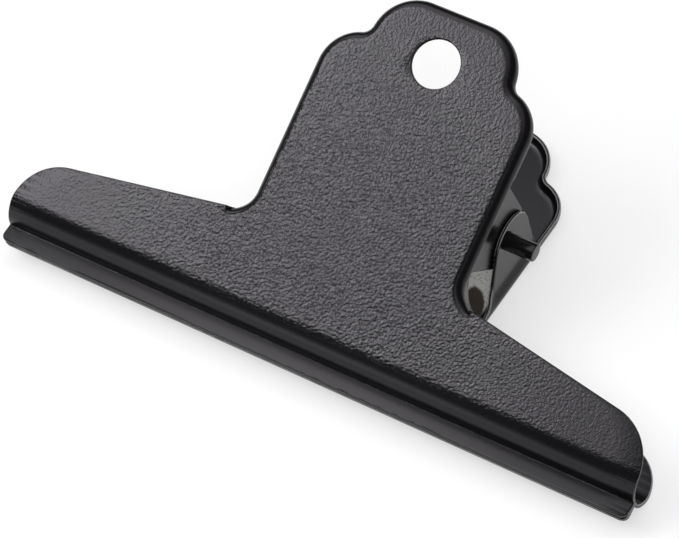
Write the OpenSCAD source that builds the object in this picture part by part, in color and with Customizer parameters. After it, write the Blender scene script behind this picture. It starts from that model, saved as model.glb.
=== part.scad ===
// Wide steel paper clip: two pressed jaw plates on a hinge pin, held shut by a bent leaf spring.
// X runs along the jaws, Y from the jaws to the handle tops, Z up from the back plate it lies on.

/* [Sheet] */
// Thickness of the pressed plates with their coating
sheet_t = 0.8; // [0.6:0.05:1]
// Outside radius of the bend between a handle's face and its flange
bend_r = 2.2; // [1.8:0.1:2.4]
// Depth of the flange round the handle, from the face
flange_h = 2.9; // [2.7:0.1:3.6]
// Depth of the back plate's flange round the corner between neck and shoulder, from the face
back_corner_h = 2.9; // [2.7:0.1:5.4]
// Depth of the front plate's flange round that corner, from the face
front_corner_h = 5; // [4:0.1:5.4]
// Turn at the corner's end over which the flange fades into the flat shoulder
corner_fade = 40; // [25:1:60]

/* [Jaws] */
// Length of the jaws
jaw_length = 144.6; // [120:0.2:170]
// Angle between the two plates' faces when the clip is shut
plate_angle = 30.7; // [30:0.1:33]
// Outside radius of the curve that brings a jaw in to the other
jaw_curve_r = 6.6; // [5.6:0.1:7.6]
// Angle of that curve
jaw_curve_angle = 70; // [60:1:78]
// Inside radius of the sharp fold between curve and lip
fold_r = 0.25; // [0.2:0.05:0.6]
// Width of the lip
lip_w = 3.4; // [2.8:0.1:5]
// Angle at which a lip flares away from the closing plane
lip_angle = 10; // [4:1:20]
// Radius of the lip's corners
lip_corner_r = 1.5; // [1:0.1:2.8]
// Radius of the jaw's upper corners
end_corner_r = 11; // [8:0.5:13]
// Height of the shoulder line above the start of the curve, at the jaw's end
shoulder_rise = 7.35; // [6:0.05:9]
// Slope of the shoulder toward the neck
shoulder_slope = 9.54; // [6:0.1:12]
// Gap between the two folds when the clip is shut
jaw_gap = 0.1; // [0.05:0.05:0.3]

/* [Handle] */
// Height of the handle from the start of the jaw curve
handle_h = 67.8; // [64:0.2:76]
// Width of the neck and of the handle's lower lobes
neck_w = 48; // [46:0.2:54]
// Radius of the corner between neck and shoulder
neck_corner_r = 4.95; // [4:0.05:7]
// Radius of the handle's upper lobes
top_lobe_r = 9.65; // [8:0.05:10.5]
// Distance of an upper lobe's centre from the middle
top_lobe_x = 6.5; // [5:0.1:7.5]
// Radius of the handle's lower lobes
low_lobe_r = 8.8; // [7.5:0.1:9.5]
// Height of a lower lobe's centre above the start of the jaw curve
low_lobe_y = 48.8; // [47:0.1:50]
// Radius of the notch between the lobes
notch_r = 2.5; // [2:0.1:3.5]
// Diameter of the hanging hole
hole_d = 10.1; // [6:0.1:12]
// Height of the hanging hole above the start of the jaw curve
hole_y = 56.6; // [54:0.1:58]

/* [Hinge] */
// Diameter of the pin
pin_d = 3.8; // [3:0.1:4.2]
// Reach of the pin's right end from the clip's middle
pin_right = 29.8; // [27:0.1:33]
// Reach of the pin's left end from the clip's middle
pin_left = 25.2; // [24:0.1:33]
// Chamfer on the pin's ends
pin_chamfer = 0.25; // [0.1:0.05:0.5]
// Distance from the closing fold up to the pin, along the closing plane
pin_up = 39.2; // [38.8:0.1:41.5]
// Radial clearance of the pin in the front ears, which turn on it
pin_play = 0.06; // [0.02:0.01:0.1]
// Gap between the nested ears
ear_gap = 0.25; // [0.2:0.05:0.4]
// Inward step of the back ears
back_step = 0.9; // [0.6:0.1:1.4]
// Depth over which an ear's inward step is made
step_run = 3; // [2.4:0.1:3.4]

/* [Back Ears] */
// Radius of the ear's round end
back_ear_r = 6.4; // [5.6:0.1:7.4]
// Centre of the round end above the pin
back_ear_up = 2.4; // [0:0.1:3.4]
// Reach of the ear past the pin's axis
back_ear_reach = 3.4; // [3:0.1:5]
// Foot of the ear above the pin
back_foot_up = 11.1; // [9.4:0.1:12]
// Foot of the ear below the pin
back_foot_down = 7; // [6.4:0.1:9]
// Radius between the ear's lower edge and the flange
back_flare_r = 6; // [2:0.1:6.5]

/* [Front Ears] */
// Radius of the ear's round end
front_ear_r = 7.05; // [6:0.05:8]
// Centre of the round end above the pin
front_ear_up = 0.75; // [0:0.05:2]
// Reach of the ear past the pin's axis
front_ear_reach = 8.4; // [5:0.1:9]
// Foot of the ear above the pin
front_foot_up = 10.2; // [9:0.1:11.4]
// Foot of the ear below the pin
front_foot_down = 10.6; // [9:0.1:11.2]
// Radius between the ear's lower edge and the flange
front_flare_r = 5; // [2:0.1:5.5]

/* [Spring] */
// Thickness of the spring strip
spring_t = 0.9; // [0.6:0.05:1.2]
// Clearance between the spring and the plates' inner faces
spring_gap = 0.1; // [0.05:0.05:0.3]
// Clearance between the spring's sides and the back plate's ears
spring_side_gap = 0.2; // [0.15:0.05:1]
// Distance of the round back's centre below the pin
spring_drop = 8.3; // [6:0.1:9]
// Length of the straight part of a leg
leg_length = 14; // [10:0.5:18]
// Outside radius of the inward curl at a leg's end
curl_r = 3; // [2:0.1:4]
// Angle of that curl
curl_angle = 60; // [30:1:80]

/* [Hidden] */
$fn = 96;
half_angle = plate_angle / 2;
half_jaw = jaw_length / 2;
half_neck = neck_w / 2;
pin_r = pin_d / 2;
front_bore_r = pin_r + pin_play;
front_step = back_step + sheet_t + ear_gap;
// Largest turn between two points of a curve, on the outline and in a tight fold
outline_turn = 7.5;
fold_turn = 18;
bend_steps = 4;
// Overlap of the flat face with the strip that leads into the bend
lap = 1;
// Step of a flange's flat end below the shoulder line, so that the two cut edges don't coincide
tuck = lap / 50;
// Height above the bend at which an ear starts to step inward, and the heights at which its section turns
ear_rise = sheet_t / 8;
// Reach of a cut that passes right through
past = jaw_length;
levels = [ear_rise, ear_rise + step_run / 2, ear_rise + step_run, past];

function polar(r, a) = [r * cos(a), r * sin(a)];
function angle_of(v) = atan2(v.y, v.x);
function turns(from, to, largest) =
    let (n = ceil(abs(to - from) / largest))
    [for (i = [0 : n]) from + (to - from) * i / n];
function arc(c, r, from, to, largest = outline_turn) =
    [for (a = turns(from, to, largest)) c + polar(r, a)];
function reversed(list) = [for (i = [len(list) - 1 : -1 : 0]) list[i]];
// Centre of a circle of radius r that touches two circles from outside, on the left from a to b
function touching(a, ra, b, rb, r) =
    let (d = norm(b - a), e = (b - a) / d, s = ((ra + r) ^ 2 - (rb + r) ^ 2 + d ^ 2) / (2 * d))
    a + s * e + sqrt((ra + r) ^ 2 - s ^ 2) * [-e.y, e.x];
// Heading of the line from p that passes a circle on its left with side 1, on its right with side -1
function passing(p, c, r, side) = angle_of(c - p) + side * asin(r / norm(c - p));

// Outline of a plate's right half, seen from outside, from the handle's top down to the jaw
top_lobe = [top_lobe_x, handle_h - top_lobe_r];
low_lobe = [half_neck - low_lobe_r, low_lobe_y];
notch = touching(top_lobe, top_lobe_r, low_lobe, low_lobe_r, notch_r);
notch_from = angle_of(notch - top_lobe);
notch_to = angle_of(notch - low_lobe);
shoulder_normal = 90 - shoulder_slope;
corner_x = half_neck + neck_corner_r;
shoulder_at_corner = shoulder_rise + (half_jaw - corner_x) * tan(shoulder_slope);
corner_y = shoulder_at_corner + neck_corner_r / cos(shoulder_slope);
neck_corner = [corner_x, corner_y];
corner_to = 180 + shoulder_normal;
end_x = half_jaw - end_corner_r;
end_y = shoulder_rise + end_corner_r * tan(shoulder_slope) - end_corner_r / cos(shoulder_slope);
end_corner = [end_x, end_y];

// Section of a jaw, with X up the face and Y inward from its outer side
curve_centre = [0, jaw_curve_r];
curve_to = 270 - jaw_curve_angle;
fold = curve_centre + polar(jaw_curve_r + fold_r, curve_to);
fold_from = curve_to - 180;
lip_heading = 180 + lip_angle + half_angle;
fold_to = lip_heading - 90;
mouth_gap = fold_r + sheet_t + jaw_gap / 2;
closing_normal = 90 + half_angle;
mouth = fold + polar(mouth_gap, closing_normal);
pin_at = mouth + polar(pin_up, half_angle);

// The footprint is centred on the origin, from the front lip's edge to the back handle's top
front_fold = mouth + polar(mouth_gap, closing_normal);
front_lip_heading = 180 + half_angle - lip_angle;
front_lip_tip = front_fold + polar(lip_w, front_lip_heading) + polar(fold_r, front_lip_heading + 90);
middle_y = (handle_h + front_lip_tip.x) / 2;

// One station of the flange: its place on the outline, its outward heading and its depth,
// how much of an ear's inward step it takes, and how much of the bend
function station(p, heading, depth, stepped = 0, bent = 1) = [p.x, p.y, heading, depth, stepped, bent];
function stretch(c, r, from, to, hollow) =
    [for (a = turns(from, to, outline_turn)) station(c + polar(r, a), a + hollow, flange_h)];
function but_last(list) = [for (i = [0 : len(list) - 2]) list[i]];
function share(x) = max(0, min(1, x));

// Stations round the handle, from its top to the neck
handle_way = concat(
    [station([0, handle_h], 90, flange_h)],
    but_last(stretch(top_lobe, top_lobe_r, 90, notch_from, 0)),
    but_last(stretch(notch, notch_r, notch_from + 180, notch_to + 180, 180)),
    stretch(low_lobe, low_lobe_r, notch_to, 0, 0)
);

// Station of the corner at angle a of its circle, which fades out toward the shoulder
function corner_station(a, depth, stepped) =
    station(neck_corner + polar(neck_corner_r, a), a + 180, depth, stepped,
        1 - (1 - share((corner_to - a) / corner_fade)) ^ 3);
corner_turns = turns(180, corner_to, outline_turn);
corner_end = neck_corner + polar(neck_corner_r, corner_to);
shoulder_way = polar(1, -shoulder_slope);
flat_end_at = corner_end + lap * shoulder_way - polar(tuck, shoulder_normal);
flat_end = station(flat_end_at, shoulder_normal, flange_h, 0, 0);

// Stations down a plate's right side, with the ear's free edge as their depth along the neck
function half_way_round(tip_r, tip_up, reach, foot_up, foot_down, flare_r, corner_h) =
    let (
        tip = pin_at + [tip_up, reach - tip_r],
        upper = [pin_at.x + foot_up, bend_r],
        lower = [pin_at.x - foot_down, bend_r],
        upper_heading = passing(upper, tip, tip_r, -1),
        lower_heading = passing(lower, tip, tip_r, 1),
        upper_way = [1 / tan(upper_heading), 1],
        start = flange_h - bend_r,
        rises = concat([start], [for (h = levels) if (h > start + ear_rise && h < past) h]),
        foot = lower + (corner_h - bend_r) * [1 / tan(lower_heading), 1],
        flare = foot + flare_r * [-tan(lower_heading / 2), 1],
        flare_top = flare + polar(flare_r, lower_heading - 90),
        edge = concat(
            [for (h = rises) upper + h * upper_way],
            arc(tip, tip_r, upper_heading - 90, lower_heading + 90),
            [for (p = arc(flare, flare_r, lower_heading - 90, -90)) if (p.x > corner_y) p]
        )
    )
    concat(
        handle_way,
        [for (p = edge) station([half_neck, p.x], 0, p.y, share((p.x - flare.x) / flare_r))],
        [for (a = corner_turns)
            let (
                y = corner_y - neck_corner_r * (a - 180) * PI / 180,
                x = y - flare.x,
                depth = y > flare_top.x ? flare_top.y + (y - flare_top.x) * tan(lower_heading)
                    : x > 0 ? flare.y - sqrt(flare_r ^ 2 - x ^ 2)
                    : corner_h
            )
            corner_station(a, depth, share(x / flare_r))],
        [flat_end]
    );
function other_half(half) =
    [for (i = [len(half) - 1 : -1 : 1])
        let (s = half[i])
        station([-s.x, s.y], 180 - s[2], s[3], s[4], s[5])];

// One side of the flange's section at a station, at a distance inside its outer side:
// from the flat face round the bend and up to the free edge, flattened where the bend fades out
function section_side(inset, s, step) =
    let (
        rise = s[3] - bend_r,
        n = len(levels),
        turned = [for (i = [0 : bend_steps]) 90 * i / bend_steps - 90],
        bend = [for (a = turned) [-bend_r, bend_r] + polar(bend_r - inset, a)],
        heights = [for (i = [1 : n]) min(levels[i - 1], rise * i / n)],
        wall = [for (h = heights) [-inset - s[4] * step * share((h - ear_rise) / step_run), bend_r + h]],
        full = concat(bend, wall),
        last = len(full) - 1
    )
    concat(
        [[-bend_r - 2 * lap, inset]],
        [for (i = [0 : last]) s[5] * full[i] + (1 - s[5]) * [bend_r * (i / last - 1), inset]]
    );
function section_loop(s, step) =
    concat(section_side(0, s, step), reversed(section_side(sheet_t, s, step)));
function raised(s, p) = [s.x + p.x * cos(s[2]), s.y + p.x * sin(s[2]), p.y];

module flange(half, step) {
    way = concat(other_half(half), half);
    loops = [for (s = way) [for (p = section_loop(s, step)) raised(s, p)]];
    n = len(loops[0]);
    last = (len(way) - 1) * n;
    skin = [
        for (i = [0 : len(way) - 2]) for (j = [0 : n - 1])
            let (k = (j + 1) % n)
            [i * n + j, (i + 1) * n + j, (i + 1) * n + k, i * n + k]
    ];
    ends = [for (j = [0 : n / 2 - 2]) [j, j + 1, n - 2 - j, n - 1 - j]];
    far_ends = [for (f = ends) reversed([for (v = f) v + last])];
    polyhedron([for (loop = loops) each loop], concat(skin, ends, far_ends));
}

module jaw_section() {
    lip = polar(lip_w, lip_heading);
    polygon(concat(
        [[handle_h, 0]],
        arc(curve_centre, jaw_curve_r, 270, curve_to),
        arc(fold, fold_r, fold_from, fold_to, fold_turn),
        [fold + polar(fold_r, fold_to) + lip],
        [fold + polar(fold_r + sheet_t, fold_to) + lip],
        arc(fold, fold_r + sheet_t, fold_to, fold_from, fold_turn),
        arc(curve_centre, jaw_curve_r - sheet_t, curve_to, 270),
        [[handle_h, sheet_t]]
    ));
}

module footprint() {
    flanged = concat(handle_way, [for (a = corner_turns) corner_station(a, flange_h, 0)]);
    right = concat(
        [for (s = flanged) [s.x, s.y] - polar(bend_r + lap, s[2])],
        [corner_end + lap / 2 * shoulder_way],
        arc(end_corner, end_corner_r, shoulder_normal, 0),
        [[half_jaw, -past]]
    );
    left = [for (p = reversed(right)) [-p.x, p.y]];
    polygon(concat(right, left));
}

module lip_corner_cut() {
    beyond = [[lip_w, 0], [lip_w, -lip_w], [0, -lip_w]];
    translate([0, fold.x, fold.y])
        rotate([lip_heading - 180, 0, 0])
            translate([half_jaw - lip_corner_r, lip_corner_r - lip_w, 0])
                linear_extrude(2 * lip_w, center = true)
                    polygon(concat(arc([0, 0], lip_corner_r, -90, 0), beyond));
}

// Stands a drawing in X and Y up along the neck, right across the clip
module across(width) {
    rotate([90, 0, 90])
        linear_extrude(width, center = true)
            children();
}

module on_both_sides() {
    children();
    mirror([1, 0, 0])
        children();
}

module pressed_sheet(half, step) {
    difference() {
        union() {
            intersection() {
                across(2 * jaw_length)
                    jaw_section();
                linear_extrude(past, center = true)
                    footprint();
            }
            flange(half, step);
        }
        on_both_sides()
            lip_corner_cut();
        translate([0, hole_y, 0])
            cylinder(d = hole_d, h = 4 * sheet_t, center = true);
    }
}

// Places a piece drawn from the outer side of the back plate's face into the clip
module placed() {
    translate([0, -middle_y, 0])
        children();
}

// Swaps the back plate's side of the closing plane for the front plate's
module across_closing_plane() {
    translate([0, mouth.x, mouth.y])
        rotate([half_angle, 0, 0])
            mirror([0, 0, 1])
                rotate([-half_angle, 0, 0])
                    translate([0, -mouth.x, -mouth.y])
                        children();
}

module along_pin(r) {
    translate([0, pin_at.x, pin_at.y])
        rotate([0, 90, 0])
            cylinder(r = r, h = jaw_length, center = true);
}

module back_plate() {
    color("#26272a")
        placed()
            difference() {
                pressed_sheet(
                    half_way_round(back_ear_r, back_ear_up, back_ear_reach,
                        back_foot_up, back_foot_down, back_flare_r, back_corner_h),
                    back_step
                );
                along_pin(pin_r);
            }
}

module front_plate() {
    color("#26272a")
        placed()
            across_closing_plane()
                difference() {
                    pressed_sheet(
                        half_way_round(front_ear_r, front_ear_up, front_ear_reach,
                            front_foot_up, front_foot_down, front_flare_r, front_corner_h),
                        front_step
                    );
                    along_pin(front_bore_r);
                }
}

module hinge_pin() {
    color("#18191b")
        placed()
            translate([0, pin_at.x, pin_at.y])
                rotate([0, 90, 0])
                    rotate_extrude()
                        polygon([
                            [0, -pin_left],
                            [pin_r - pin_chamfer, -pin_left],
                            [pin_r, pin_chamfer - pin_left],
                            [pin_r, pin_right - pin_chamfer],
                            [pin_r - pin_chamfer, pin_right],
                            [0, pin_right]
                        ]);
}

// The strip lies between the plates' inner faces, so its round back is as wide as they leave it there
spring_r = pin_at.y - spring_drop * sin(half_angle) - sheet_t - spring_gap;
spring_w = neck_w - 2 * (back_step + sheet_t + spring_side_gap);

// One side of half the strip, from the round back's middle to the curl, with X up the closing plane
function strip_side(inset) =
    let (turn = 90 + half_angle, curl = polar(spring_r - curl_r, turn) + polar(leg_length, half_angle))
    concat(
        arc([0, 0], spring_r - inset, 180, turn),
        arc(curl, curl_r - inset, turn, turn - curl_angle, fold_turn)
    );
function flipped(list) = [for (i = [1 : len(list) - 1]) [list[i].x, -list[i].y]];

module leaf_spring() {
    outer = strip_side(0);
    inner = strip_side(spring_t);
    strip = concat(reversed(flipped(outer)), outer, reversed(inner), flipped(inner));
    color("#c9cbce")
        placed()
            translate([0, pin_at.x, pin_at.y])
                rotate([half_angle, 0, 0])
                    translate([0, -spring_drop, 0])
                        across(spring_w)
                            polygon(strip);
}

back_plate();
front_plate();
hinge_pin();
leaf_spring();
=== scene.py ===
# A wide bulldog clip: two pressed plates, a hinge pin and a bent leaf spring, on a white table.
import math

import bmesh
import bpy
import numpy as np
from mathutils import Euler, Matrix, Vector


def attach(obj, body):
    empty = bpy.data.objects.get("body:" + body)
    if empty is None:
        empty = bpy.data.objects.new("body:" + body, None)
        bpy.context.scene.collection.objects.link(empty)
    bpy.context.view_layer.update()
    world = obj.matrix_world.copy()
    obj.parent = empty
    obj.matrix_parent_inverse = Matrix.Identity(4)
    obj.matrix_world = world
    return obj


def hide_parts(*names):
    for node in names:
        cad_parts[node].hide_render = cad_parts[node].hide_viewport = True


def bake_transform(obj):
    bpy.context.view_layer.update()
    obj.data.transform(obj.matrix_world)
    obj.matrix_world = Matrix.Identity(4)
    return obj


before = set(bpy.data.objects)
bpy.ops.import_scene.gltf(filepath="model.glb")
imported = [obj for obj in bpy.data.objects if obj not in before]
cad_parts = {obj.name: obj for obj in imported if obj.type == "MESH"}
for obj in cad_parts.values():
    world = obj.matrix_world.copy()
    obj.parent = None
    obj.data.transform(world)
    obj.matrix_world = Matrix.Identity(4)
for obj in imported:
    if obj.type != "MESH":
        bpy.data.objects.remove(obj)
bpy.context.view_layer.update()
print("frame loaded:", len(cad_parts), "solids")

mm = 0.001


# small geometry helpers, in millimetres and degrees


def polar(radius, angle):
    # a point at that distance and angle from the origin
    a = np.radians(angle)
    return np.stack([radius * np.cos(a), radius * np.sin(a)], axis=-1)


def arcPoints(centre, radius, start, end, count):
    # count + 1 points on a circle, at equal turns from start to end
    return np.asarray(centre) + polar(radius, np.linspace(start, end, count + 1))


def angleOf(v):
    return math.degrees(math.atan2(v[1], v[0]))


def smoothStep(x):
    x = np.clip(x, 0.0, 1.0)
    return x * x * (3 - 2 * x)


def touchingCentre(a, ra, b, rb, r):
    # centre of the circle of radius r that touches two circles from outside, left of a to b
    d = np.linalg.norm(b - a)
    e = (b - a) / d
    s = ((ra + r) ** 2 - (rb + r) ** 2 + d * d) / (2 * d)
    return a + s * e + math.sqrt((ra + r) ** 2 - s * s) * np.array([-e[1], e[0]])


def passingHeading(p, c, r, side):
    # heading of the line from p that touches a circle, with the circle on its left for side -1
    d = c - p
    return angleOf(d) + side * math.degrees(math.asin(r / np.linalg.norm(d)))


def gridQuads(rows, columns):
    # the quads of a grid whose points are stored row by row, still in rows and columns
    index = np.arange(rows * columns).reshape(rows, columns)
    return np.stack([index[:-1, :-1], index[:-1, 1:], index[1:, 1:], index[1:, :-1]], axis=-1)


def gridFaces(rows, columns):
    return gridQuads(rows, columns).reshape(-1, 4)


def windowedFaces(rows, columns, window):
    # the grid's quads without those inside a window of row and column limits
    r0, r1, c0, c1 = window
    quads = gridQuads(rows, columns)
    keep = np.ones(quads.shape[:2], bool)
    keep[r0:r1, c0:c1] = False
    return quads[keep]


def holeRing(grid, window, centre, axes, radius, rings):
    # rings that lead from the border of a window in a flat grid to a round hole in it:
    # each border point slides straight to the hole's rim point at its own angle
    r0, r1, c0, c1 = window
    border = np.concatenate([
        grid[r0, c0:c1],
        grid[r0:r1, c1],
        grid[r1, c1:c0:-1],
        grid[r1:r0:-1, c0],
    ])
    across, up = axes
    rel = border - centre
    angle = np.arctan2(rel @ up, rel @ across)
    rim = centre + radius * (np.cos(angle)[:, None] * across + np.sin(angle)[:, None] * up)
    share = np.linspace(0, 1, rings + 1)[:, None, None]
    points = border * (1 - share) + rim * share
    points = np.concatenate([points, points[:, :1]], axis=1)
    return points.reshape(-1, 3), gridFaces(rings + 1, len(border) + 1)


def weldPatches(patches):
    # joins patches of (points, quads) into one: points that agree to 0.0001 mm become one,
    # and quads that this flattens become triangles or go; points inside a window stay, without faces
    points = np.concatenate([p for p, _ in patches])
    starts = np.cumsum([0] + [len(p) for p, _ in patches[:-1]])
    quads = np.concatenate([q + s for (_, q), s in zip(patches, starts)])
    _, first, place = np.unique(np.round(points, 4), axis=0, return_index=True, return_inverse=True)
    quads = place.reshape(-1)[quads]
    same = quads == np.roll(quads, -1, axis=1)
    whole = quads[~same.any(axis=1)]
    flat = quads[same.sum(axis=1) == 1]
    drop = np.argmax(same[same.sum(axis=1) == 1], axis=1)
    keep = (drop[:, None] + np.array([1, 2, 3])) % 4
    triangles = np.take_along_axis(flat, keep, axis=1)
    return points[first], whole.tolist() + triangles.tolist()


def makeMesh(name, points, faces):
    mesh = bpy.data.meshes.new(name)
    mesh.from_pydata((np.asarray(points) * mm).tolist(), [], faces)
    mesh.validate()
    obj = bpy.data.objects.new(name, mesh)
    bpy.context.scene.collection.objects.link(obj)
    return obj


def faceOut(obj, testPoint, outward):
    # turns all faces the same way, outward at the vertex nearest to the test point
    bm = bmesh.new()
    bm.from_mesh(obj.data)
    bmesh.ops.recalc_face_normals(bm, faces=bm.faces)
    nearest = min(bm.faces, key=lambda f: (f.calc_center_median() - testPoint).length)
    if nearest.normal.dot(outward) < 0:
        bmesh.ops.reverse_faces(bm, faces=bm.faces)
    bm.to_mesh(obj.data)
    bm.free()


def settleModifiers(obj, sharpAngle):
    # keeps what the modifiers make as the object's own mesh, smooth but for edges sharper than the angle
    graph = bpy.context.evaluated_depsgraph_get()
    mesh = bpy.data.meshes.new_from_object(obj.evaluated_get(graph))
    obj.modifiers.clear()
    old = obj.data
    obj.data = mesh
    bpy.data.meshes.remove(old)
    mesh.name = obj.name
    mesh.shade_smooth()
    mesh.set_sharp_from_angle(angle=math.radians(sharpAngle))


# where the two plates meet, and the way from one to the other

clip = {
    "plateAngle": 30.7,  # between the two faces when shut
    "sheet": 0.8,
    "curveRadius": 6.6,
    "curveAngle": 70.0,
    "foldRadius": 0.25,
    "jawGap": 0.1,
    "pinUp": 39.2,
    "handleHeight": 67.8,
    "lipWidth": 3.4,
    "lipAngle": 10.0,
}

halfAngle = clip["plateAngle"] / 2
curveTo = 270 - clip["curveAngle"]
foldCentre = np.array([0, clip["curveRadius"]]) + polar(clip["curveRadius"] + clip["foldRadius"], curveTo)
foldReach = clip["foldRadius"] + clip["sheet"] + clip["jawGap"] / 2
closingNormal = polar(1, 90 + halfAngle)
closingLine = polar(1, halfAngle)
mouth = foldCentre + foldReach * closingNormal
pinAt = mouth + clip["pinUp"] * closingLine
frontFold = mouth + foldReach * closingNormal
frontLip = 180 + halfAngle - clip["lipAngle"]
frontTip = frontFold + polar(clip["lipWidth"], frontLip) + polar(clip["foldRadius"], frontLip + 90)
middleY = (clip["handleHeight"] + frontTip[0]) / 2


def placed(points):
    # from the back plate's own place to the clip's
    return points - np.array([0, middleY, 0])


def acrossClosingPlane(points):
    # mirrors (x, y, z) in the plane through the mouth between the two plates
    rel = points[:, 1:] - mouth
    return np.column_stack([points[:, 0], points[:, 1:] - 2 * np.outer(rel @ closingNormal, closingNormal)])


# the pressed plates

plate = {
    "bendRadius": 2.2,
    "flangeDepth": 2.9,
    "jawLength": 144.6,
    "lipCornerRadius": 1.5,
    "endCornerRadius": 11.0,
    "shoulderRise": 7.35,
    "shoulderSlope": 9.54,
    "neckWidth": 48.0,
    "neckCornerRadius": 4.95,
    "topLobeRadius": 9.65,
    "topLobeX": 6.5,
    "lowLobeRadius": 8.8,
    "lowLobeY": 48.8,
    "notchRadius": 2.5,
    "holeRadius": 5.05,
    "holeY": 56.6,
    "stepRun": 3.0,
    "stepFade": 1.1,  # reach of the inward step's end below an ear, in radii of the flare
    "cornerFade": 40.0,  # turn over which the flange fades into the shoulder
    "cornerFine": 18.0,  # last part of that turn, with rows closer together
    "edgeRounding": 0.25,
    "edgeSegments": 4,
    "edgeAngle": 50.0,  # edges sharper than this are rounded
    "sharpAngle": 40.0,  # edges sharper than this aren't shaded smooth
    "rimStrip": 0.36,  # width of the last strip of faces beside a free edge
    "leastRise": 0.1,  # left between the bend and that strip where the flange is shallow
    "boreMargin": 2.5,  # half width of the square left open round an ear's bore
    "holeMargin": 1.4,  # room between the hanging hole and its square
    "holeShare": 0.62,  # half width of that square, as a share of the face's
    "holeRows": (60, 80),  # first rows of the outline, where its upper and lower side are sought
    "fineLevels": (5.0, 14),  # height of the close rows above the bend, and their number
    "levelStep": 0.5,  # between the rows above them
    "columns": 44,
    "sideColumns": 7,
}
rowCounts = {
    "topLobe": 30,
    "notch": 22,
    "lowLobe": 20,
    "run": 14,
    "earUp": 9,
    "earTip": 40,
    "earDown": 13,
    "belowEar": 16,
    "corner": 22,
    "cornerFine": 15,
    "bend": 10,
    "shoulder": 9,
    "endCorner": 24,
    "curve": 36,
    "fold": 9,
    "lip": 4,
}
backEars = {
    "cornerDepth": 2.9,
    "step": 0.9,
    "tipRadius": 6.4,
    "tipUp": 2.4,
    "reach": 3.4,
    "footUp": 11.1,
    "footDown": 7.0,
    "flareRadius": 6.0,
    "boreRadius": 1.9,
}
frontEars = {
    "cornerDepth": 5.0,
    "step": 1.95,
    "tipRadius": 7.05,
    "tipUp": 0.75,
    "reach": 8.4,
    "footUp": 10.2,
    "footDown": 10.6,
    "flareRadius": 5.0,
    "boreRadius": 1.96,
}

halfNeck = plate["neckWidth"] / 2
halfJaw = plate["jawLength"] / 2
topLobe = np.array([plate["topLobeX"], clip["handleHeight"] - plate["topLobeRadius"]])
lowLobe = np.array([halfNeck - plate["lowLobeRadius"], plate["lowLobeY"]])
notch = touchingCentre(
    topLobe, plate["topLobeRadius"],
    lowLobe, plate["lowLobeRadius"],
    plate["notchRadius"],
)
notchFrom = angleOf(notch - topLobe)
notchTo = angleOf(notch - lowLobe)
slope = math.radians(plate["shoulderSlope"])
shoulderNormal = 90 - plate["shoulderSlope"]
cornerX = halfNeck + plate["neckCornerRadius"]
cornerRise = (halfJaw - cornerX) * math.tan(slope) + plate["neckCornerRadius"] / math.cos(slope)
neckCorner = np.array([cornerX, plate["shoulderRise"] + cornerRise])
cornerTo = 180 + shoulderNormal
endRadius = plate["endCornerRadius"]
endCorner = np.array([
    halfJaw - endRadius,
    plate["shoulderRise"] + endRadius * math.tan(slope) - endRadius / math.cos(slope),
])


def earShape(ear):
    # the free edge of an ear as (y, depth): a straight line up from the flange, round the tip and down;
    # with the circle that leads from there out into the corner, and the heading of the line before it
    tip = pinAt + np.array([ear["tipUp"], ear["reach"] - ear["tipRadius"]])
    upper = np.array([pinAt[0] + ear["footUp"], plate["bendRadius"]])
    lower = np.array([pinAt[0] - ear["footDown"], plate["bendRadius"]])
    upHeading = passingHeading(upper, tip, ear["tipRadius"], -1)
    downHeading = passingHeading(lower, tip, ear["tipRadius"], 1)
    rise = plate["flangeDepth"] - plate["bendRadius"]
    start = upper + rise * np.array([1 / math.tan(math.radians(upHeading)), 1])
    tipArc = arcPoints(tip, ear["tipRadius"], upHeading - 90, downHeading + 90, rowCounts["earTip"])
    rise = ear["cornerDepth"] - plate["bendRadius"]
    foot = lower + rise * np.array([1 / math.tan(math.radians(downHeading)), 1])
    flare = foot + ear["flareRadius"] * np.array([-math.tan(math.radians(downHeading / 2)), 1])
    flareTop = flare + polar(ear["flareRadius"], downHeading - 90)
    up = start + np.linspace(0, 1, rowCounts["earUp"])[:-1, None] * (tipArc[0] - start)
    down = tipArc[-1] + np.linspace(0, 1, rowCounts["earDown"])[1:, None] * (flareTop - tipArc[-1])
    return np.concatenate([up, tipArc, down]), flare, downHeading


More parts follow.
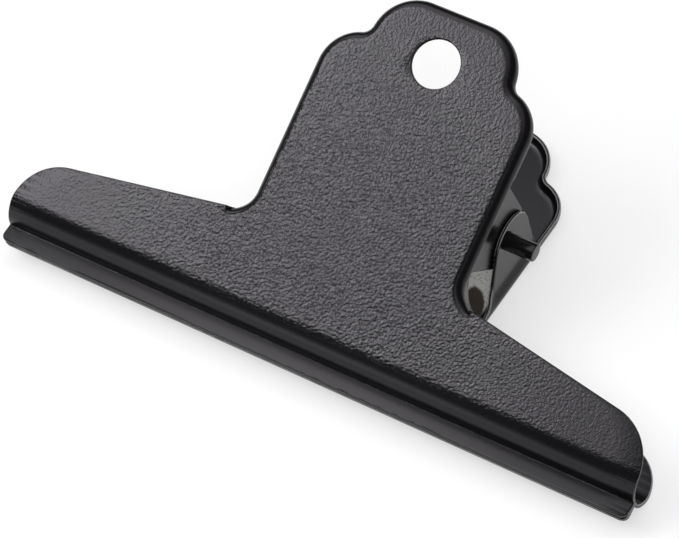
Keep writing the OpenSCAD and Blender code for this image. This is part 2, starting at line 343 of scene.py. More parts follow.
def outlineStations(ear):
    # places down the right side of the handle, as rows of x, y, outward heading, flange depth,
    # share of the ear's inward step and share of the bend
    def stretch(centre, radius, start, end, turn, count):
        angle = np.linspace(start, end, count + 1)
        n = len(angle)
        level = np.full(n, plate["flangeDepth"])
        return np.column_stack([centre + polar(radius, angle), angle + turn, level, np.zeros(n), np.ones(n)])

    def alongNeck(y, depth, stepped):
        n = len(y)
        return np.column_stack([np.full(n, halfNeck), y, np.zeros(n), depth, stepped, np.ones(n)])

    top = stretch(topLobe, plate["topLobeRadius"], 90, notchFrom, 0, rowCounts["topLobe"])
    hollowFrom, hollowTo = notchFrom + 180, notchTo + 180
    hollow = stretch(notch, plate["notchRadius"], hollowFrom, hollowTo, 180, rowCounts["notch"])
    low = stretch(lowLobe, plate["lowLobeRadius"], notchTo, 0, 0, rowCounts["lowLobe"])
    edge, flare, heading = earShape(ear)
    runY = np.linspace(lowLobe[1], edge[0, 0], rowCounts["run"])[1:-1]
    run = alongNeck(runY, np.full(len(runY), plate["flangeDepth"]), np.zeros(len(runY)))
    neck = alongNeck(edge[:, 0], edge[:, 1], np.ones(len(edge)))

    def lowerEdge(y):
        # depth and inward step below the ear, along the neck and on round the corner
        x = y - flare[0]
        r = ear["flareRadius"]
        foot = flare + polar(r, heading - 90)
        line = foot[1] + (y - foot[0]) * math.tan(math.radians(heading))
        circle = flare[1] - np.sqrt(np.maximum(r * r - x * x, 0))
        depth = np.where(y > foot[0], line, np.where(x > 0, circle, ear["cornerDepth"]))
        return depth, smoothStep(x / (plate["stepFade"] * r))

    lowerY = np.linspace(edge[-1, 0], neckCorner[1], rowCounts["belowEar"])[1:-1]
    lower = alongNeck(lowerY, *lowerEdge(lowerY))
    fineFrom = cornerTo - plate["cornerFine"]
    angle = np.concatenate([
        np.linspace(180, fineFrom, rowCounts["corner"])[:-1],
        np.linspace(fineFrom, cornerTo, rowCounts["cornerFine"]),
    ])
    unrolledY = neckCorner[1] - plate["neckCornerRadius"] * np.radians(angle - 180)
    bent = 1 - (1 - np.clip((cornerTo - angle) / plate["cornerFade"], 0, 1)) ** 3
    around = neckCorner + polar(plate["neckCornerRadius"], angle)
    corner = np.column_stack([around, angle + 180, *lowerEdge(unrolledY), bent])
    return np.concatenate([top[:-1], hollow[:-1], low, run, neck, lower, corner])


def flangeSurface(way, ear, levels):
    # the sheet's outer side from the face's edge, a quarter turn round the bend, and straight up to the
    # free edge; each level above the bend is cut off one strip before that place's own depth and the last
    # one ends there, an ear leans in by a smooth step, and where the bend fades out each point nears its
    # place on the flat sheet, at the same length along it
    r = plate["bendRadius"]
    turn = np.radians(np.linspace(0, 90, rowCounts["bend"]))
    inset = np.concatenate([r * (1 - np.sin(turn)), np.zeros(len(levels) + 1)])
    height = np.concatenate([r * (1 - np.cos(turn)), r + levels, [np.inf]])
    length = np.concatenate([r * turn, r * math.pi / 2 + levels, [np.inf]])
    before = np.ones(len(height))
    before[-1] = 0
    path = np.concatenate([[0], np.cumsum(np.hypot(*np.diff(way[:, :2], axis=0).T))])
    steep = np.hypot(1, np.gradient(way[:, 3], path))
    strip = np.minimum(plate["rimStrip"] * steep, way[:, 3] - r - plate["leastRise"])
    z = np.minimum(height[None, :], way[:, 3][:, None] - strip[:, None] * before)
    whole = r * math.pi / 2 + way[:, 3][:, None] - r
    passed = np.minimum(length[None, :] / whole, 1 - before * plate["rimStrip"] / r)
    lean = ear["step"] * smoothStep((z - r) / plate["stepRun"]) * way[:, 4][:, None]
    bent = way[:, 5][:, None]
    inward = bent * (inset[None, :] + lean) + (1 - bent) * r * (1 - passed)
    heading = np.radians(way[:, 2])[:, None]
    x = way[:, 0][:, None] - inward * np.cos(heading)
    y = way[:, 1][:, None] - inward * np.sin(heading)
    return np.stack([x, y, bent * z], axis=-1)


def nearestIndex(values, target):
    return int(np.argmin(np.abs(np.asarray(values) - target)))


def plateSurface(ear):
    # one plate's outer side, welded from grids: the flange swept along the outline, the flat face between,
    # and the jaw as straight rows across, each as wide as the outline there
    half = outlineStations(ear)
    deepest = half[:, 3].max() - plate["bendRadius"]
    fineTop, fineCount = plate["fineLevels"]
    step = plate["levelStep"]
    fine = np.linspace(0, fineTop, fineCount + 1)[1:]
    levels = np.concatenate([fine, np.arange(fineTop + step, deepest + step, step)])
    right = flangeSurface(half, ear, levels)
    patches = []
    # the two side flanges with a bore in each ear
    rows, columns = right.shape[:2]
    heights = plate["bendRadius"] + levels
    firstLevel = columns - 1 - len(levels)
    margin = plate["boreMargin"]
    onNeck = np.where((half[:, 0] == halfNeck) & (half[:, 2] == 0))[0]
    r0 = onNeck[nearestIndex(half[onNeck, 1], pinAt[0] + margin)]
    r1 = onNeck[nearestIndex(half[onNeck, 1], pinAt[0] - margin)]
    c0 = firstLevel + nearestIndex(heights, pinAt[1] - margin)
    c1 = firstLevel + nearestIndex(heights, pinAt[1] + margin)
    window = (r0, r1, c0, c1)
    boreAt = np.array([halfNeck - ear["step"], pinAt[0], pinAt[1]])
    axes = (np.array([0, 1.0, 0]), np.array([0, 0, 1.0]))
    bore = holeRing(right, window, boreAt, axes, ear["boreRadius"], 1)
    sideFaces = windowedFaces(rows, columns, window)
    for side in (1, -1):
        flip = np.array([side, 1, 1])
        patches.append((right.reshape(-1, 3) * flip, sideFaces))
        patches.append((bore[0] * flip, bore[1]))
    # the flange along the straight top
    share = np.linspace(-1, 1, plate["columns"] + 1)
    n = len(share)
    topWay = np.column_stack([
        share * topLobe[0], np.full(n, clip["handleHeight"]), np.full(n, 90.0),
        np.full(n, plate["flangeDepth"]), np.zeros(n), np.ones(n),
    ])
    top = flangeSurface(topWay, ear, levels)
    patches.append((top.reshape(-1, 3), gridFaces(top.shape[0], top.shape[1])))
    # the flat face between the flanges, with the hanging hole
    inner = right[:, 0]
    face = np.stack([
        inner[:, 0][:, None] * share[None, :],
        np.repeat(inner[:, 1][:, None], n, axis=1),
        np.zeros((len(inner), n)),
    ], axis=-1)
    reach = plate["holeRadius"] + plate["holeMargin"]
    upperRows, lowerRows = plate["holeRows"]
    r0 = nearestIndex(inner[:upperRows, 1], plate["holeY"] + reach)
    r1 = nearestIndex(inner[:lowerRows, 1], plate["holeY"] - reach)
    c0 = nearestIndex(share, -plate["holeShare"])
    window = (r0, r1, c0, n - 1 - c0)
    holeAt = np.array([0, plate["holeY"], 0])
    axes = (np.array([1.0, 0, 0]), np.array([0, 1.0, 0]))
    patches.append((face.reshape(-1, 3), windowedFaces(len(inner), n, window)))
    patches.append(holeRing(face, window, holeAt, axes, plate["holeRadius"], 3))
    # the small flat triangle of shoulder beside the place where the flange has faded out
    cornerEnd = inner[-1, :2]
    edgeX, edgeY = right[-1, :, 0], right[-1, :, 1]
    shoulderX = halfJaw - (edgeY - plate["shoulderRise"]) / math.tan(slope)
    spread = np.linspace(0, 1, plate["sideColumns"] + 1)
    back = (1 - spread) * (shoulderX[0] - edgeX[0])
    wedge = np.stack([
        np.maximum(edgeX[:, None], shoulderX[:, None] - back[None, :]),
        np.repeat(edgeY[:, None], len(spread), axis=1),
        np.zeros((len(edgeY), len(spread))),
    ], axis=-1)
    for side in (1, -1):
        flip = np.array([side, 1, 1])
        patches.append((wedge.reshape(-1, 3) * flip, gridFaces(len(edgeY), len(spread))))
    # the jaw, in rows down the face, round the curve, round the tight fold and out along the lip
    place, width = jawRows(cornerEnd[1])
    middle = np.stack([
        np.repeat((share * cornerEnd[0])[None, :], len(place), axis=0),
        np.repeat(place[:, 0][:, None], n, axis=1),
        np.repeat(place[:, 1][:, None], n, axis=1),
    ], axis=-1)
    patches.append((middle.reshape(-1, 3), gridFaces(len(place), n)))
    wing = np.stack([
        cornerEnd[0] + spread[None, :] * (width - cornerEnd[0])[:, None],
        np.repeat(place[:, 0][:, None], len(spread), axis=1),
        np.repeat(place[:, 1][:, None], len(spread), axis=1),
    ], axis=-1)
    for side in (1, -1):
        flip = np.array([side, 1, 1])
        patches.append((wing.reshape(-1, 3) * flip, gridFaces(len(place), len(spread))))
    return weldPatches(patches)


def jawRows(startY):
    # rows of the jaw as (y, depth) with their half widths: the width follows the shoulder's slope,
    # the round upper corner, the straight end, and the lip's own small corner
    cornerTop = endCorner[1] + endRadius * math.sin(math.radians(shoulderNormal))
    turn = np.radians(np.linspace(shoulderNormal, 0, rowCounts["endCorner"]))
    rim = endCorner[1] + endRadius * np.sin(turn)
    flatY = np.concatenate([np.linspace(startY, cornerTop, rowCounts["shoulder"])[:-1], rim])
    flatY = np.append(flatY[flatY > 0.02], 0)  # no row nearer than that to where the curve starts
    flat = np.column_stack([flatY, np.zeros(len(flatY))])
    r = clip["curveRadius"]
    curve = arcPoints([0, r], r, 270, curveTo, rowCounts["curve"])[1:]
    foldFrom = curveTo - 180
    lipHeading = 180 + clip["lipAngle"] + halfAngle
    fold = arcPoints(foldCentre, clip["foldRadius"], foldFrom, lipHeading - 90, rowCounts["fold"])[1:]
    body = np.concatenate([flat, curve, fold])
    sloped = halfJaw - (body[:, 0] - plate["shoulderRise"]) / math.tan(slope)
    above = np.clip(body[:, 0] - endCorner[1], 0, endRadius * 0.99999)
    rounded = endCorner[0] + np.sqrt(endRadius**2 - above**2)
    width = np.where(body[:, 0] >= cornerTop, sloped, np.where(body[:, 0] > endCorner[1], rounded, halfJaw))
    small = plate["lipCornerRadius"]
    straight = clip["lipWidth"] - small
    share = np.array([0.34, 0.6, 0.8, 1.0])  # rows round the lip's corner, closer towards its end
    n = rowCounts["lip"]
    along = np.concatenate([np.linspace(0, straight, n)[1:], straight + small * share])
    lipWidth = np.concatenate([np.full(n - 1, halfJaw), halfJaw - small + small * np.sqrt(1 - share**2)])
    lip = fold[-1] + along[:, None] * polar(1, lipHeading)
    return np.concatenate([body, lip]), np.concatenate([width, lipWidth])


def finishPlate(obj, faceSpot, outward):
    # a sheet of even thickness whose cut edges are a little rounded and take the second of two materials
    obj.data.materials.append(None)
    obj.data.materials.append(None)
    faceOut(obj, faceSpot, outward)
    thick = obj.modifiers.new("thickness", "SOLIDIFY")
    thick.thickness = clip["sheet"] * mm
    thick.offset = -1
    thick.use_even_offset = True
    edge = obj.modifiers.new("edge", "BEVEL")
    edge.width = plate["edgeRounding"] * mm
    edge.segments = plate["edgeSegments"]
    edge.limit_method = "ANGLE"
    edge.angle_limit = math.radians(plate["edgeAngle"])
    edge.harden_normals = True
    edge.use_clamp_overlap = False
    edge.material = 1
    settleModifiers(obj, plate["sharpAngle"])
    # beside the neck's corners and the ears the rounding throws some points out of place, up to 2.5 mm:
    # those that stand out past the face are set back on its plane, the others stay
    for vertex in obj.data.vertices:
        past = (vertex.co - faceSpot).dot(outward)
        if past > 0:
            vertex.co -= past * outward


backPoints, backFaces = plateSurface(backEars)
backPlate = makeMesh("backPlate", placed(backPoints), backFaces)
frontPoints, frontFaces = plateSurface(frontEars)
frontPlate = makeMesh("frontPlate", placed(acrossClosingPlane(frontPoints)), frontFaces)
backOutward = (0, 0, -1)
frontOutward = acrossClosingPlane(np.array([[0, 0, -1.0]]))[0] - acrossClosingPlane(np.zeros((1, 3)))[0]
faceSpot = np.array([[5.0, 30.0, 0.0]])  # a place on the flat face
finishPlate(backPlate, Vector(placed(faceSpot)[0] * mm), Vector(backOutward))
finishPlate(frontPlate, Vector(placed(acrossClosingPlane(faceSpot))[0] * mm), Vector(frontOutward))
print("plates made:", len(backPlate.data.polygons), len(frontPlate.data.polygons), "faces")


# the hinge pin

pin = {
    "radius": 1.9,
    "right": 29.8,
    "left": 25.2,
    "chamfer": 0.25,
    "endRing": 0.6,  # share of an end's radius at which its inner ring lies
    "sides": 64,
    "rings": 40,
    "sharpAngle": 40.0,
}


def pinSurface():
    # a profile of (distance along, radius) turned once round the pin's axis, and closed at both ends
    r, c = pin["radius"], pin["chamfer"]
    turn = np.radians(np.linspace(0, 90, 5))
    end = np.column_stack([c * np.sin(turn) - c, r - c + c * np.cos(turn)])
    end = np.concatenate([end, [[0, (r - c) * pin["endRing"]], [0, 0]]])
    right = end + np.array([pin["right"], 0])
    left = (end * np.array([-1, 1]) - np.array([pin["left"], 0]))[::-1]
    along = np.linspace(c - pin["left"], pin["right"] - c, pin["rings"] + 2)[1:-1]
    shank = np.column_stack([along, np.full(pin["rings"], r)])
    profile = np.concatenate([left, shank, right])
    angle = np.linspace(0, 2 * math.pi, pin["sides"] + 1)
    ring = np.stack([np.cos(angle), np.sin(angle)], axis=-1)
    x = np.repeat(profile[:, 0][:, None], len(angle), axis=1)
    yz = profile[:, 1][:, None, None] * ring[None] + pinAt
    points = np.concatenate([x[..., None], yz], axis=-1)
    return weldPatches([(points.reshape(-1, 3), gridFaces(len(profile), len(angle)))])


pinPoints, pinFaces = pinSurface()
hingePin = makeMesh("hingePin", placed(pinPoints), pinFaces)
topOfPin = placed(np.array([[0, pinAt[0], pinAt[1] + pin["radius"]]]))[0] * mm
faceOut(hingePin, Vector(topOfPin), Vector((0, 0, 1)))
hingePin.data.shade_smooth()
hingePin.data.set_sharp_from_angle(angle=math.radians(pin["sharpAngle"]))
print("pin made")


# the leaf spring

spring = {
    "thickness": 0.9,
    "gap": 0.1,
    "sideGap": 0.2,
    "drop": 8.3,
    "legLength": 14.0,
    "curlRadius": 3.0,
    "curlAngle": 60.0,
    "edgeRadius": 0.22,
    "backRows": 48,
    "legRows": 16,
    "curlRows": 14,
    "columns": 41,
    "sharpAngle": 50.0,
    "bendReach": 10.0,  # way to either side of the closing plane
}
springRadius = pinAt[1] - spring["drop"] * closingLine[1] - clip["sheet"] - spring["gap"]


def springLine():
    # the strip's outer line with its outward headings, from one curl's end round the back to the other's
    turn = 90 + halfAngle
    back = np.linspace(180, turn, spring["backRows"])
    along = np.linspace(0, spring["legLength"], spring["legRows"])[1:]
    leg = polar(springRadius, turn) + along[:, None] * polar(1, halfAngle)
    curlAt = polar(springRadius - spring["curlRadius"], turn) + spring["legLength"] * polar(1, halfAngle)
    curlTurn = np.linspace(turn, turn - spring["curlAngle"], spring["curlRows"])[1:]
    line = np.concatenate([polar(springRadius, back), leg, curlAt + polar(spring["curlRadius"], curlTurn)])
    out = np.concatenate([back, np.full(len(along), turn), curlTurn])
    flip = np.array([1, -1])
    line = np.concatenate([(line * flip)[:0:-1], line])
    out = np.concatenate([-out[:0:-1], out])
    return line, out


def springSurface():
    # a rounded flat section carried along the strip's line, closed at both ends
    line, out = springLine()
    half = halfNeck - backEars["step"] - clip["sheet"] - spring["sideGap"]
    t, e = spring["thickness"], spring["edgeRadius"]
    turn = np.linspace(0, 90, 5)
    corner = polar(e, turn)
    n = spring["columns"]
    width = np.linspace(-(half - e), half - e, n)
    outer = np.column_stack([width, np.zeros(n)])
    rightSide = np.array([half - e, -e]) + corner[::-1]
    rightUnder = np.array([half - e, -t + e]) + polar(e, -turn)
    inner = np.column_stack([width[::-1], np.full(n, -t)])
    leftUnder = np.array([-half + e, -t + e]) + polar(e, -90 - turn)
    leftSide = np.array([-half + e, -e]) + polar(e, 180 - turn)
    right = [rightSide[1:], rightUnder]
    left = [leftUnder[1:], leftSide]
    section = np.concatenate([outer, *right, inner[1:], *left, outer[:1]])
    normal = polar(1, out)
    uv = line[:, None, :] + section[None, :, 1, None] * normal[:, None, :]
    uv = uv - np.array([spring["drop"], 0])
    yz = pinAt + uv[..., :1] * closingLine + uv[..., 1:] * closingNormal
    x = np.repeat(section[:, 0][None, :], len(line), axis=0)
    points = np.concatenate([x[..., None], yz], axis=-1)
    rows, columns = points.shape[:2]
    patches = [(points.reshape(-1, 3), gridFaces(rows, columns))]
    for end in (0, -1):
        loop = points[end]
        inside = loop.mean(axis=0)
        middle = loop * np.array([1, 0, 0]) + inside * np.array([0, 1, 1])
        middle[:, 0] = np.clip(middle[:, 0], -(half - e), half - e)
        cap = np.stack([loop, middle])
        patches.append((cap.reshape(-1, 3), gridFaces(2, columns)))
    return weldPatches(patches)


springPoints, springFaces = springSurface()
leafSpring = makeMesh("leafSpring", placed(springPoints), springFaces)
springTop = pinAt - (spring["drop"] + springRadius) * closingLine
backOfSpring = placed(np.array([[0, springTop[0], springTop[1]]]))[0] * mm
faceOut(leafSpring, Vector(backOfSpring), Vector((0, -closingLine[0], -closingLine[1])))
leafSpring.data.shade_smooth()
leafSpring.data.set_sharp_from_angle(angle=math.radians(spring["sharpAngle"]))
print("spring made")


# materials

coat = {
    "colour": (0.004, 0.004, 0.0046, 1),
    "roughness": 0.26,
    "tint": (0.97, 0.925, 1.0, 1),  # of what the coat mirrors
    "ior": 1.5,
    "specular": 0.37,
    "paintedSheenSpecular": 0.34,  # painted sheen, added towards the middle of the face, where the grain is strong
    "paintedSideShadeSpecular": 0.28,  # painted shade: a lower shine on curves and flanges
    "grainSize": 0.54,  # mm
    "grainDetail": 1.5,
    "grainRoughness": 0.45,  # of the noise
    "grainRelief": 0.26,  # mm
    "fineRelief": 0.02,  # mm
    "fineShare": 2.3,  # ripples to one cell of the grain
    "fineDetail": 1.0,
    "grainFacing": (0.94, 0.998),  # how squarely a place looks outward where the grain starts and is whole
    "flatFacing": (0.75, 0.9),  # the same for the shine of the flat sides, inner and outer
    "calm": (20.0, 64.0),  # mm off the middle at which the grain and its painted sheen start to weaken and are weakest
    "calmLeft": 0.3,  # share of the relief left there
    "edgeHighlightColour": (0.26, 0.26, 0.27, 1),  # painted highlight: a lighter colour on the free edges of flanges and ears
    "edgeRoughness": 0.2,
    "edgeHighlightFacing": (0.15, 0.55),  # how far an edge looks inward where the painted highlight starts and is full
}
gloss = {"colour": (0.008, 0.008, 0.009, 1), "roughness": 0.14, "specular": 0.35}
nickel = {
    "colour": (0.90, 0.89, 0.87, 1),
    "metallic": 0.0,
    "roughness": 0.34,
    "speckColour": (0.20, 0.185, 0.17, 1),
    "speckSize": 0.35,  # mm
    "speckDetail": 2.0,
    "speckFrom": (0.58, 0.66),  # noise at which a speck starts and is full
    # painted shade: a dark brown patch where the spring lies in shadow inside the clip
    "paintedShadeColour": (0.060, 0.045, 0.034, 1),
    "paintedShadeAt": (19.4, -5.0, 1.8),  # mm
    "paintedShadeReach": (2.1, 4.3, 3.0),  # mm
    "paintedShadeTurn": 30.0,
    "paintedShadeRough": 0.5,  # how far the noise moves the painted shade's border, in reaches
    "paintedShadeBorder": (1.32, 1.12),  # reaches at which the painted shade starts and is full
}


def feed(tree, socket, value):
    # links an input from a socket, or sets it to a plain value
    if isinstance(value, bpy.types.NodeSocket):
        tree.links.new(value, socket)
    else:
        socket.default_value = value


def setInputs(node, values):
    for name, value in values.items():
        node.inputs[name].default_value = value


def addMath(tree, operation, *values):
    node = tree.nodes.new("ShaderNodeMath")
    node.operation = operation
    for socket, value in zip(node.inputs, values):
        feed(tree, socket, value)
    return node.outputs["Value"]


def addVectorMath(tree, operation, *values):
    node = tree.nodes.new("ShaderNodeVectorMath")
    node.operation = operation
    for socket, value in zip(node.inputs, values):
        feed(tree, socket, value)
    return node.outputs["Value"]


def addRange(tree, value, limits, to=(0.0, 1.0), kind="SMOOTHSTEP"):
    # leads a value from the two limits to the two results
    node = tree.nodes.new("ShaderNodeMapRange")
    node.interpolation_type = kind
    names = ("Value", "From Min", "From Max", "To Min", "To Max")
    for name, given in zip(names, (value, *limits, *to)):
        feed(tree, node.inputs[name], given)
    return node.outputs["Result"]


def addNoise(tree, vector, scale, detail, roughness=0.5):
    node = tree.nodes.new("ShaderNodeTexNoise")
    for name, given in (("Vector", vector), ("Scale", scale), ("Detail", detail), ("Roughness", roughness)):
        feed(tree, node.inputs[name], given)
    return node.outputs["Fac"]


def addColourMix(tree, factor, first, second):
    node = tree.nodes.new("ShaderNodeMix")
    node.data_type = "RGBA"
    for name, given in (("Factor", factor), ("A", first), ("B", second)):
        feed(tree, node.inputs[name], given)
    return node.outputs["Result"]


def makeGrainGroup():
    # leathery grain of a sprayed coat: soft cells where the face looks outward, weaker far off the middle,
    # and a finer ripple everywhere
    group = bpy.data.node_groups.new("coatGrain", "ShaderNodeTree")
    inputs = {
        "Grain per metre": ("NodeSocketFloat", 2400),
        "Relief": ("NodeSocketFloat", 0.00003),
        "Fine relief": ("NodeSocketFloat", 0.00001),
        "Outward": ("NodeSocketVector", (0, 0, 1)),
        "Middle": ("NodeSocketVector", (0, 0, 0)),
        "Calm from": ("NodeSocketFloat", 0.02),
        "Calm to": ("NodeSocketFloat", 0.06),
        "Calm left": ("NodeSocketFloat", 0.4),
    }
    for name, (kind, value) in inputs.items():
        socket = group.interface.new_socket(name=name, in_out="INPUT", socket_type=kind)
        socket.default_value = value
    outputs = {
        "Normal": "NodeSocketVector",
        "Flat mask": "NodeSocketFloat",
        "Grain and sheen weight": "NodeSocketFloat",
    }
    for name, kind in outputs.items():
        group.interface.new_socket(name=name, in_out="OUTPUT", socket_type=kind)
    given = group.nodes.new("NodeGroupInput").outputs
    out = group.nodes.new("NodeGroupOutput").inputs
    coord = group.nodes.new("ShaderNodeTexCoord").outputs
    facing = addVectorMath(group, "DOT_PRODUCT", coord["Normal"], given["Outward"])
    distance = addVectorMath(group, "DISTANCE", coord["Object"], given["Middle"])
    calm = addRange(group, distance, (given["Calm from"], given["Calm to"]), to=(1.0, given["Calm left"]))
    perMetre = given["Grain per metre"]
    cells = addNoise(group, coord["Object"], perMetre, coat["grainDetail"], coat["grainRoughness"])
    coarse = addMath(group, "MULTIPLY", cells, given["Relief"])
    masked = addMath(group, "MULTIPLY", coarse, addRange(group, facing, coat["grainFacing"]))
    weighed = addMath(group, "MULTIPLY", masked, calm)
    finer = addMath(group, "MULTIPLY", perMetre, coat["fineShare"])
    ripple = addNoise(group, coord["Object"], finer, coat["fineDetail"])
    small = addMath(group, "MULTIPLY", ripple, given["Fine relief"])
    bump = group.nodes.new("ShaderNodeBump")
    bump.inputs["Distance"].default_value = 1.0
    feed(group, bump.inputs["Height"], addMath(group, "ADD", weighed, small))
    feed(group, out["Normal"], bump.outputs["Normal"])
    flatness = addMath(group, "ABSOLUTE", facing)
    feed(group, out["Flat mask"], addRange(group, flatness, coat["flatFacing"]))
    feed(group, out["Grain and sheen weight"], calm)
    return group


grainGroup = makeGrainGroup()


def newMaterial(name):
    material = bpy.data.materials.new(name)
    material.use_nodes = True
    tree = material.node_tree
    return material, tree, tree.nodes["Principled BSDF"]


def makeCoat(name, outward, middle):
    # black powder coat with the grain, and painted sheen and shade in its shine: shinier on the flat sides
    # and towards the middle, where the grain is strong
    material, tree, shader = newMaterial(name)
    grain = tree.nodes.new("ShaderNodeGroup")
    grain.node_tree = grainGroup
    calmFrom, calmTo = coat["calm"]
    setInputs(grain, {
        "Grain per metre": 1 / (coat["grainSize"] * mm),
        "Relief": coat["grainRelief"] * mm,
        "Fine relief": coat["fineRelief"] * mm,
        "Outward": tuple(outward),
        "Middle": tuple(middle),
        "Calm from": calmFrom * mm,
        "Calm to": calmTo * mm,
        "Calm left": coat["calmLeft"],
    })
    setInputs(shader, {
        "Base Color": coat["colour"],
        "Roughness": coat["roughness"],
        "IOR": coat["ior"],
        "Specular Tint": coat["tint"],
    })
    weight = grain.outputs["Grain and sheen weight"]
    # painted sheen: more shine towards the middle of the face; painted shade: less on curves and flanges
    glint = addMath(tree, "MULTIPLY_ADD", weight, coat["paintedSheenSpecular"], coat["specular"])
    ends = (coat["paintedSideShadeSpecular"], glint)
    shine = addRange(tree, grain.outputs["Flat mask"], (0.0, 1.0), to=ends, kind="LINEAR")
    tree.links.new(shine, shader.inputs["Specular IOR Level"])
    tree.links.new(grain.outputs["Normal"], shader.inputs["Normal"])
    return material


def makeHighlightedEdgeCoat(name, outward):
    # the rounded cut edges, with a painted highlight: a lighter colour where the edge looks away from the
    # face's side
    material, tree, shader = newMaterial(name)
    coord = tree.nodes.new("ShaderNodeTexCoord").outputs
    facing = addVectorMath(tree, "DOT_PRODUCT", coord["Normal"], tuple(-v for v in outward))
    # painted highlight: the light caught along the rounded edge, given as a lighter colour
    paintedHighlight = addRange(tree, facing, coat["edgeHighlightFacing"])
    tree.links.new(addColourMix(tree, paintedHighlight, coat["colour"], coat["edgeHighlightColour"]), shader.inputs["Base Color"])
    setInputs(shader, {
        "Roughness": coat["edgeRoughness"],
        "IOR": coat["ior"],
        "Specular IOR Level": coat["specular"],
    })
    return material


def makePinCoat():
    material, _, shader = newMaterial("pinCoat")
    setInputs(shader, {
        "Base Color": gloss["colour"],
        "Roughness": gloss["roughness"],
        "Specular IOR Level": gloss["specular"],
    })
    return material


def makeNickel():
    # pale plating with dark specks and one painted patch of shade, dark brown, where the spring lies in
    # shadow inside the clip
    material, tree, shader = newMaterial("nickelPlate")
    setInputs(shader, {"Metallic": nickel["metallic"], "Roughness": nickel["roughness"]})
    coord = tree.nodes.new("ShaderNodeTexCoord").outputs
    specks = addNoise(tree, coord["Object"], 1 / (nickel["speckSize"] * mm), nickel["speckDetail"])
    sharp = addRange(tree, specks, nickel["speckFrom"], kind="LINEAR")
    plating = addColourMix(tree, sharp, nickel["colour"], nickel["speckColour"])
    # the distance from the painted shade's centre is 1 on the surface of an ellipsoid, and the specks
    # roughen it
    shadeSpot = tree.nodes.new("ShaderNodeMapping")
    shadeSpot.vector_type = "TEXTURE"
    setInputs(shadeSpot, {
        "Location": tuple(v * mm for v in nickel["paintedShadeAt"]),
        "Rotation": (0, 0, math.radians(nickel["paintedShadeTurn"])),
        "Scale": tuple(v * mm for v in nickel["paintedShadeReach"]),
    })
    tree.links.new(coord["Object"], shadeSpot.inputs["Vector"])
    reach = addVectorMath(tree, "LENGTH", shadeSpot.outputs["Vector"])
    rough = addMath(tree, "MULTIPLY_ADD", specks, nickel["paintedShadeRough"], reach)
    # the painted shade laid over the plating
    paintedShade = addRange(tree, rough, nickel["paintedShadeBorder"])
    tree.links.new(addColourMix(tree, paintedShade, plating, nickel["paintedShadeColour"]), shader.inputs["Base Color"])
    return material


grainMiddle = np.array([[0, 12.0, 0]])
backCoat = makeCoat("backCoat", backOutward, placed(grainMiddle)[0] * mm)
frontCoat = makeCoat("frontCoat", frontOutward, placed(acrossClosingPlane(grainMiddle))[0] * mm)
backPlate.data.materials[0] = backCoat
backPlate.data.materials[1] = makeHighlightedEdgeCoat("backEdgeCoatPaintedHighlight", backOutward)
frontPlate.data.materials[0] = frontCoat
frontPlate.data.materials[1] = makeHighlightedEdgeCoat("frontEdgeCoatPaintedHighlight", frontOutward)
hingePin.data.materials.append(makePinCoat())
leafSpring.data.materials.append(makeNickel())

rigid = [
    (backPlate, "back_plate", "back", "powder_coat"),
    (frontPlate, "front_plate", "front", "powder_coat"),
    (hingePin, "hinge_pin", "back", "pin_coat"),
]
for piece, node, body, slotName in rigid:
    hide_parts(node)
    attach(piece, body)
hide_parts("leaf_spring")
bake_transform(leafSpring)
print("materials set")


# table, light and camera

studio = {
    "tableSize": 3.0,
    "tableDrop": 0.0002,
    "tableColour": (0.98, 0.98, 0.98, 1),
    "tableRoughness": 0.9,
    "tableGlow": 0.55,  # share of plain white in what the camera and reflections see of the table
    "worldStrength": 0.05,
}


def makeTable():
    half = studio["tableSize"] / 2
    z = -studio["tableDrop"] / mm
    corners = np.array([[-half, -half], [half, -half], [half, half], [-half, half]]) / mm
    table = makeMesh("table", np.column_stack([corners, np.full(4, z)]), [[0, 1, 2, 3]])
    material, tree, shader = newMaterial("tableWhite")
    setInputs(shader, {
        "Base Color": studio["tableColour"],
        "Roughness": studio["tableRoughness"],
        "Specular IOR Level": 0,
    })
    plain = tree.nodes.new("ShaderNodeEmission")
    setInputs(plain, {"Color": (1, 1, 1, 1), "Strength": 1.0})
    path = tree.nodes.new("ShaderNodeLightPath").outputs
    mirrored = addMath(tree, "MAXIMUM", path["Is Glossy Ray"], path["Is Transmission Ray"])
    seen = addMath(tree, "MAXIMUM", path["Is Camera Ray"], mirrored)
    mix = tree.nodes.new("ShaderNodeMixShader")
    tree.links.new(addMath(tree, "MULTIPLY", seen, studio["tableGlow"]), mix.inputs[0])
    tree.links.new(shader.outputs[0], mix.inputs[1])
    tree.links.new(plain.outputs[0], mix.inputs[2])
    tree.links.new(mix.outputs[0], tree.nodes["Material Output"].inputs["Surface"])
    table.data.materials.append(material)


def makeWorld():
    world = bpy.data.worlds.new("studio")
    world.use_nodes = True
    background = world.node_tree.nodes["Background"]
    setInputs(background, {"Color": (1, 1, 1, 1), "Strength": studio["worldStrength"]})
    bpy.context.scene.world = world


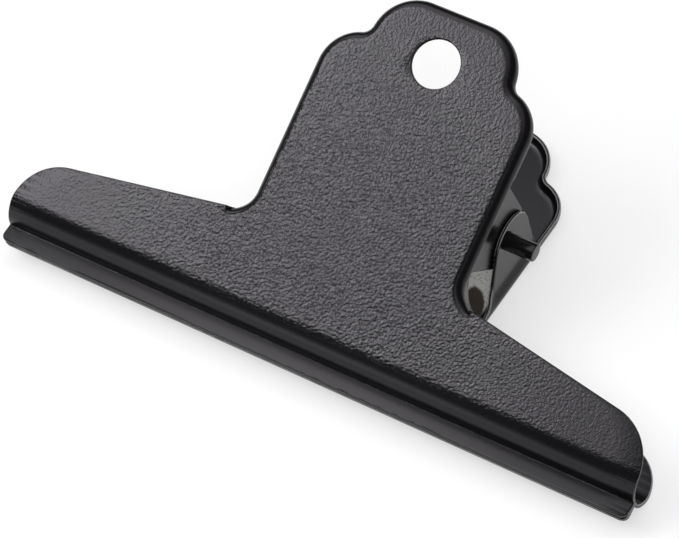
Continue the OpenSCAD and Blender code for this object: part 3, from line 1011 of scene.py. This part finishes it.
def addLamp(name, place, aim, size, power, mirrored):
    light = bpy.data.lights.new(name, "AREA")
    light.shape = "RECTANGLE"
    light.size, light.size_y = size
    light.energy = power
    lamp = bpy.data.objects.new(name, light)
    lamp.location = place
    lamp.visible_camera = False
    lamp.visible_glossy = mirrored
    lamp.rotation_euler = (Vector(place) - Vector(aim)).to_track_quat("Z", "Y").to_euler()
    bpy.context.scene.collection.objects.link(lamp)


# sizes and places in metres, power in watts; a mirrored lamp is seen in the coat
lamps = {
    "overhead": {
        "place": (-0.5, -0.06, 0.8),
        "aim": (-0.5, -0.06, 0),
        "size": (1.0, 1.12),
        "power": 3.6,
        "mirrored": True,
    },
    "key": {
        "place": (-0.62, -0.34, 0.78),
        "aim": (-0.62, -0.34, 0),
        "size": (0.54, 0.62),
        "power": 4.4,
        "mirrored": True,
    },
    "wide": {
        "place": (-0.3, 0.1, 0.81),
        "aim": (-0.3, 0.1, 0),
        "size": (1.4, 1.44),
        "power": 2.8,
        "mirrored": True,
    },
    "fillTop": {
        "place": (0.35, 0.5, 0.8),
        "aim": (0.2, 0, 0),
        "size": (1.2, 1.0),
        "power": 2.0,
        "mirrored": False,
    },
    "fillRight": {
        "place": (1.3, 0, 0.45),
        "aim": (0, 0, 0),
        "size": (1.6, 0.8),
        "power": 4.0,
        "mirrored": False,
    },
    "fillFront": {
        "place": (0.4, -0.58, 0.87),
        "aim": (0, 0, 0),
        "size": (0.5, 0.5),
        "power": 3.4,
        "mirrored": False,
    },
}

camera = {
    "place": (0.27389, -0.40242, 0.59944),
    "turn": (38.8225, 3.6028, 31.3443),
    "lens": 201.554,
    "sensor": 36,
    "clipStart": 0.01,
}


def makeCamera():
    data = bpy.data.cameras.new("camera")
    data.lens = camera["lens"]
    data.sensor_width = camera["sensor"]
    data.clip_start = camera["clipStart"]
    obj = bpy.data.objects.new("camera", data)
    obj.location = camera["place"]
    obj.rotation_euler = Euler([math.radians(v) for v in camera["turn"]])
    bpy.context.scene.collection.objects.link(obj)
    bpy.context.scene.camera = obj


makeTable()
makeWorld()
for name, lamp in lamps.items():
    addLamp(name, **lamp)
makeCamera()
bpy.context.scene.view_settings.view_transform = "Standard"
print("table, light and camera set")
